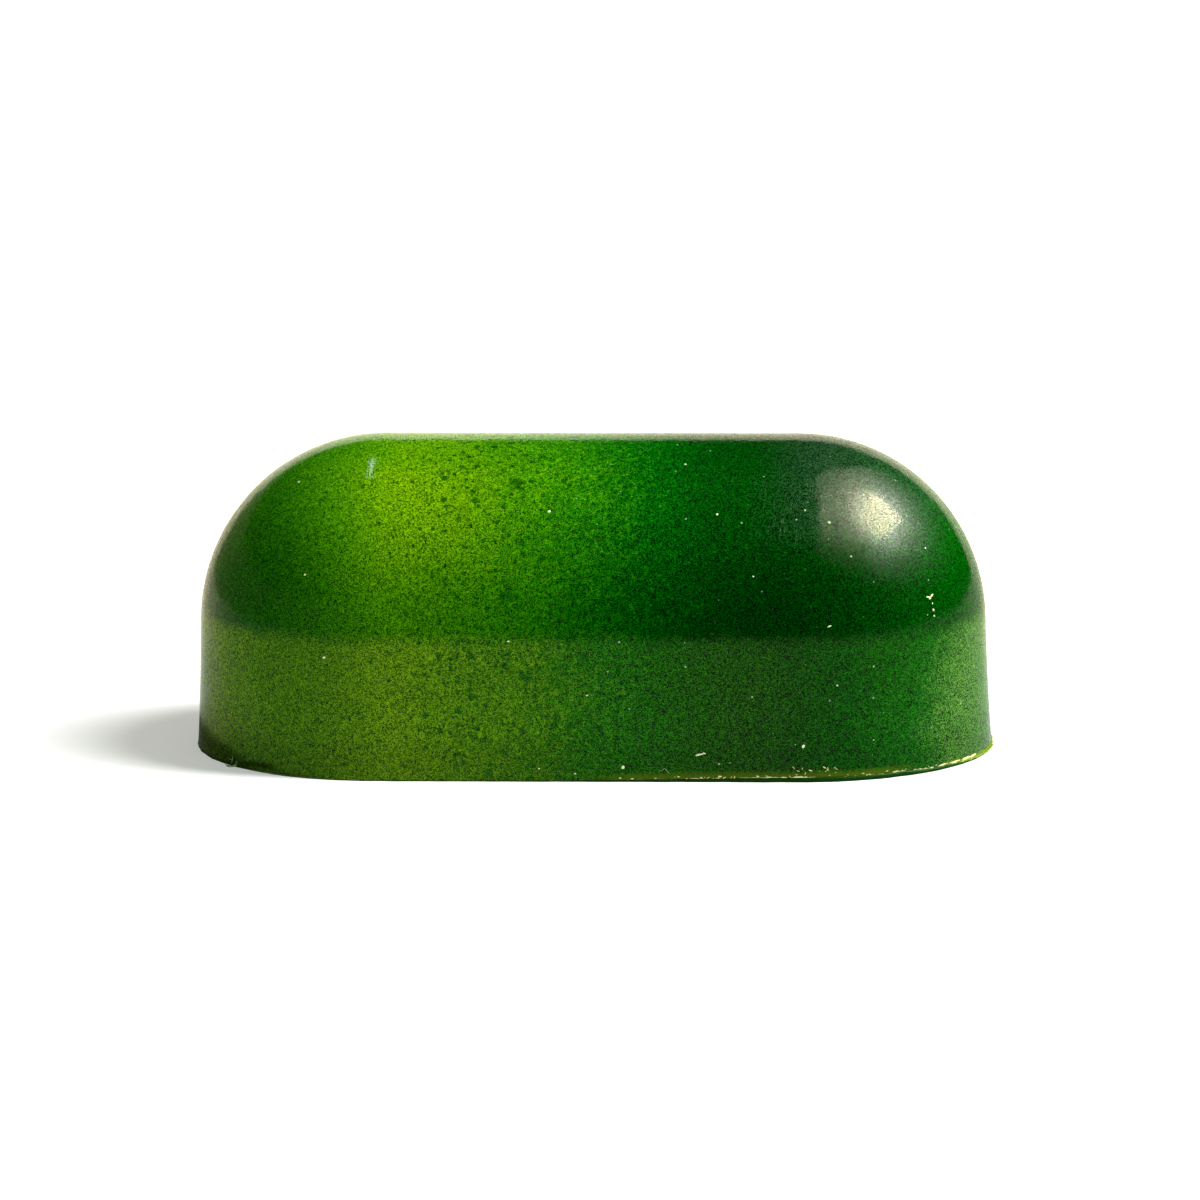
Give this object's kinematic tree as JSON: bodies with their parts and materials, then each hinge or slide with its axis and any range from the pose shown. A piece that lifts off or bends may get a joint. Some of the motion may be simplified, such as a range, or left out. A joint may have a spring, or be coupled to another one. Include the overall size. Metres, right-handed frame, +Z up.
{
  "type": "moulded chocolate praline",
  "caption": "Oblong moulded praline in the form of half a capsule: a green airbrushed chocolate shell over a nut filling, closed by a flat chocolate base.",
  "frame": {"origin": "middle of the flat underside", "axes": "+Z up, X along the praline's length, -Y the long side that the picture shows"},
  "size_m": [0.0402, 0.0194, 0.0159],
  "materials": {
    "green_skin": "glossy coloured cocoa butter, shaded from lime to deep green, with fine dark and cream specks",
    "nut_filling": "soft nut paste, matt",
    "base_chocolate": "white chocolate, satin, scraped level"
  },
  "bodies": {
    "root": {"shell": "green_skin", "filling": "nut_filling", "base": "base_chocolate"}
  },
  "joints": []
}
